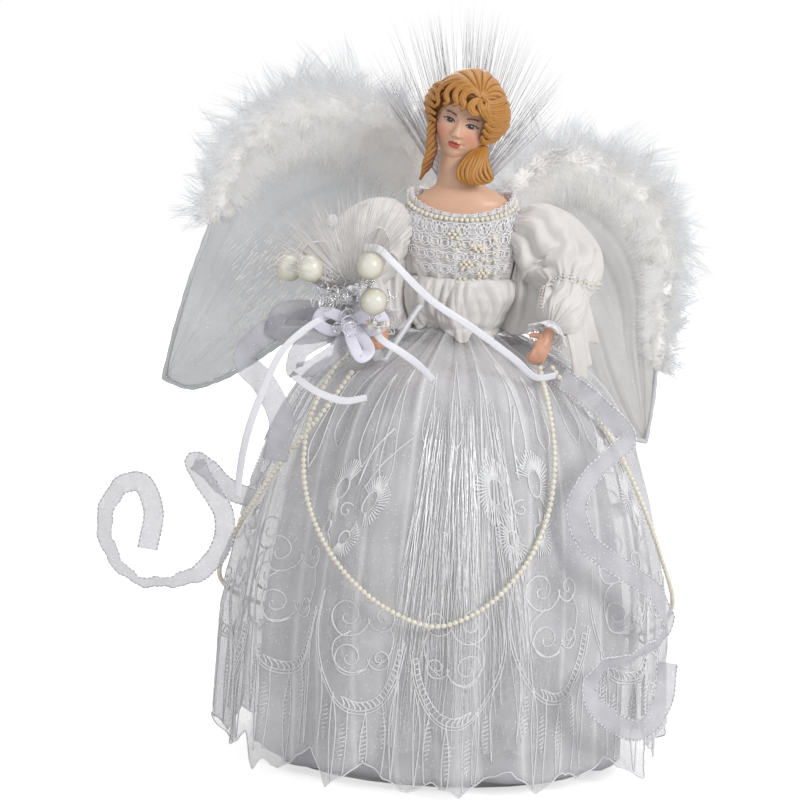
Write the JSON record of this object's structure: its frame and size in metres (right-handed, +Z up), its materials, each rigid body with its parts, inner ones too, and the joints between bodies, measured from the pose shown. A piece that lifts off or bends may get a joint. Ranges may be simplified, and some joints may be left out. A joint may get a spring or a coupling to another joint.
{
  "type": "angel tree topper",
  "caption": "Angel tree topper: doll head, satin and organza gown on a cone, folding marabou wings, fibre-optic halo and bouquet.",
  "frame": {"origin": "centre of the cone's open foot, in the plane of the base ring's underside, where the tree top goes in", "axes": "+Z up along the cone's axis; the angel faces -Y; +X is to the right seen from the front"},
  "size_m": [0.3206, 0.2504, 0.4055],
  "materials": {
    "card": "matt",
    "plastic": "matt",
    "wheel_film": "clear",
    "bulb_glass": "clear",
    "fibre": "clear",
    "steel": "drawn wire",
    "satin": "satin sheen",
    "organza": "sheer with glitter",
    "lace": "open lace",
    "porcelain": "painted bisque",
    "marabou": "loose down",
    "pearl": "pearl coat",
    "silver_foil": "bright foil"
  },
  "bodies": {
    "angel": {"cone_body": "card", "torso_form": "card", "arm_left": "card", "arm_right": "card", "base_ring": "plastic", "tree_tube": "plastic", "lamp_housing": "plastic", "lamp_cover": "plastic", "lamp_holder": "plastic", "wheel_motor": "plastic", "fibre_ferrule": "plastic", "halo_ferrule": "plastic", "wing_bracket": "plastic", "bulb": "bulb_glass", "halo_bundle": "fibre", "bouquet_bundle": "fibre", "halo_fibres": "fibre", "bouquet_fibres": "fibre", "cover_screw_1": "steel", "cover_screw_2": "steel", "bodice": "satin", "waist_sash": "satin", "underskirt": "satin", "sleeve_left": "satin", "sleeve_right": "satin", "sleeve_frill_left": "satin", "sleeve_frill_right": "satin", "satin_drape": "satin", "satin_tail": "satin", "overskirt": "organza", "front_panel": "organza", "wired_ribbon_left": "organza", "wired_ribbon_right": "organza", "bow_ribbon": "organza", "bouquet_petal_1": "organza", "bouquet_petal_2": "organza", "cuff_lace_left": "lace", "cuff_lace_right": "lace", "doll_head": "porcelain", "hand_left": "porcelain", "hand_right": "porcelain", "neck_pearls": "pearl", "pearl_pick_1": "pearl", "pearl_pick_2": "pearl", "pearl_pick_3": "pearl", "pearl_pick_4": "pearl", "garland_front": "pearl", "garland_back": "pearl", "bouquet_stem": "silver_foil", "tinsel_coil_1": "silver_foil", "tinsel_coil_2": "silver_foil"},
    "wing_left": {"wing_frame_left": "steel", "wing_panel_left": "organza", "wing_boa_left": "marabou"},
    "wing_right": {"wing_frame_right": "steel", "wing_panel_right": "organza", "wing_boa_right": "marabou"},
    "wheel": {"motor_shaft": "steel", "colour_wheel": "wheel_film"}
  },
  "joints": [
    {"name": "wing_left_fold", "type": "hinge", "parent": "angel", "child": "wing_left", "pos_m": [-0.012, 0.043, 0.29], "axis": [0, 0, -1], "range_deg": [-4, 35]},
    {"name": "wing_right_fold", "type": "hinge", "parent": "angel", "child": "wing_right", "pos_m": [0.012, 0.043, 0.29], "axis": [0, 0, 1], "range_deg": [-4, 35]},
    {"name": "colour_wheel_spin", "type": "hinge", "parent": "angel", "child": "wheel", "pos_m": [0.0072, 0, 0.136], "axis": [0, 0, 1], "continuous": true}
  ]
}
